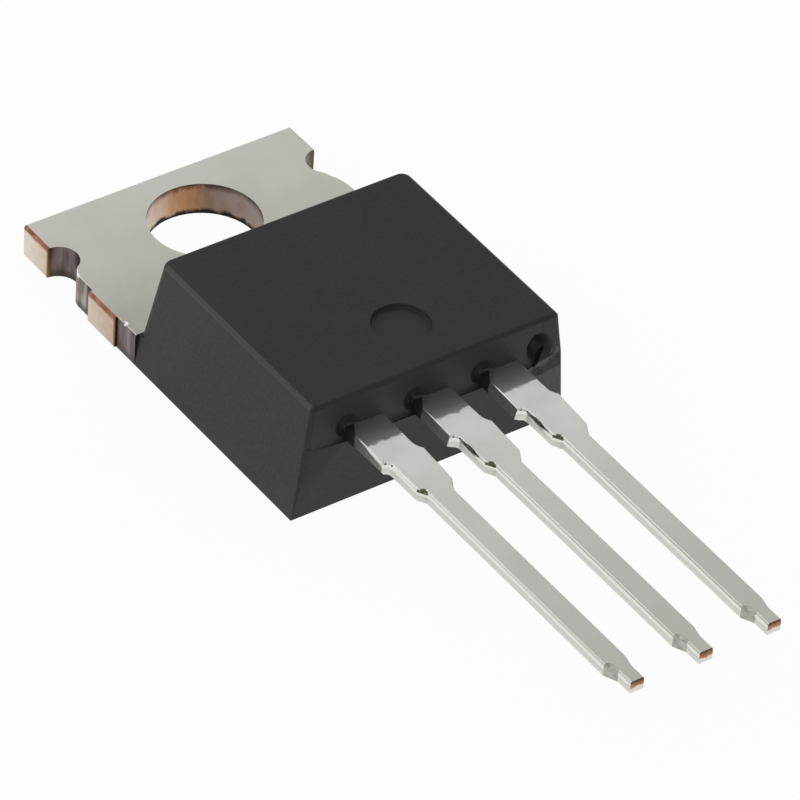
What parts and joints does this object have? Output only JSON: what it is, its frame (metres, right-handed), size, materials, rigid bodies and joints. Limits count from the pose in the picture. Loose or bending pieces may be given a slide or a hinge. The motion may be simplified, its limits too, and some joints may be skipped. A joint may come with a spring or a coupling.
{
  "type": "power mosfet",
  "caption": "Power MOSFET in a moulded black package with a drilled metal heat-sink tab and straight tinned leads for a circuit board.",
  "frame": {"origin": "mounting hole's axis at the heat-sink face", "axes": "+Z out of the front face, -Y out along the leads, +X across the leads from gate to source"},
  "size_m": [0.0104, 0.0297, 0.0043],
  "materials": {
    "moulding_compound": "fine matte moulding",
    "tinned_copper": "matte tin plating, bare copper where sheared",
    "soft_solder": "dull",
    "silicon": "polished",
    "bond_wire": "bright drawn"
  },
  "bodies": {
    "root": {"epoxy_body": "moulding_compound", "drain_frame": "tinned_copper", "gate_lead": "tinned_copper", "source_lead": "tinned_copper", "die_solder": "soft_solder", "silicon_die": "silicon", "source_wire_1": "bond_wire", "source_wire_2": "bond_wire", "source_wire_3": "bond_wire", "gate_wire": "bond_wire"}
  },
  "joints": []
}
